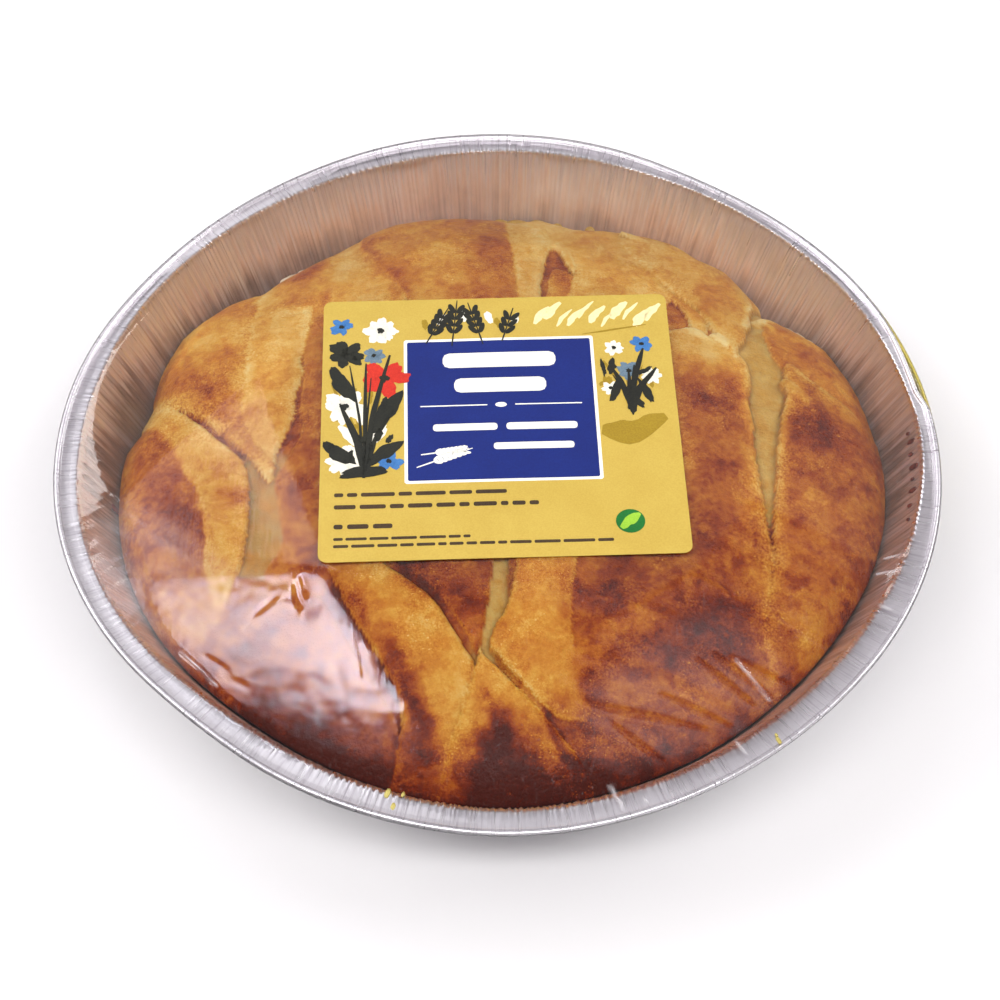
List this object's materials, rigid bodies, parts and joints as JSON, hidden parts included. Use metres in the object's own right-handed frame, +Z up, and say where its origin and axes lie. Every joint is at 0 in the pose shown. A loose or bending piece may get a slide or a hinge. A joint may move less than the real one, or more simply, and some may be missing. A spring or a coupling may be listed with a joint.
{
  "type": "kouign amann in a film-wrapped foil tin",
  "caption": "Round folded butter pastry with a browned, leafy top in a pleated aluminium foil tin, closed with clear film and a square paper label.",
  "frame": {"origin": "centre of the underside, on the surface the pack stands on", "axes": "+Z up through the tin's opening; +X along the top label's lower edge, to its right, within 2 degrees"},
  "size_m": [0.2018, 0.2014, 0.0379],
  "materials": {
    "foil": "thin pressed foil, semi-bright, finely pleated",
    "pastry": null,
    "film": "clear glossy stretched film",
    "label_paper": "coated paper, printed yellow with a dark blue panel",
    "side_paper": "coated paper, printed yellow"
  },
  "bodies": {
    "root": {"foil_tin": "foil", "kouign_amann": "pastry", "film": "film", "top_label": "label_paper", "side_label": "side_paper"}
  },
  "joints": []
}
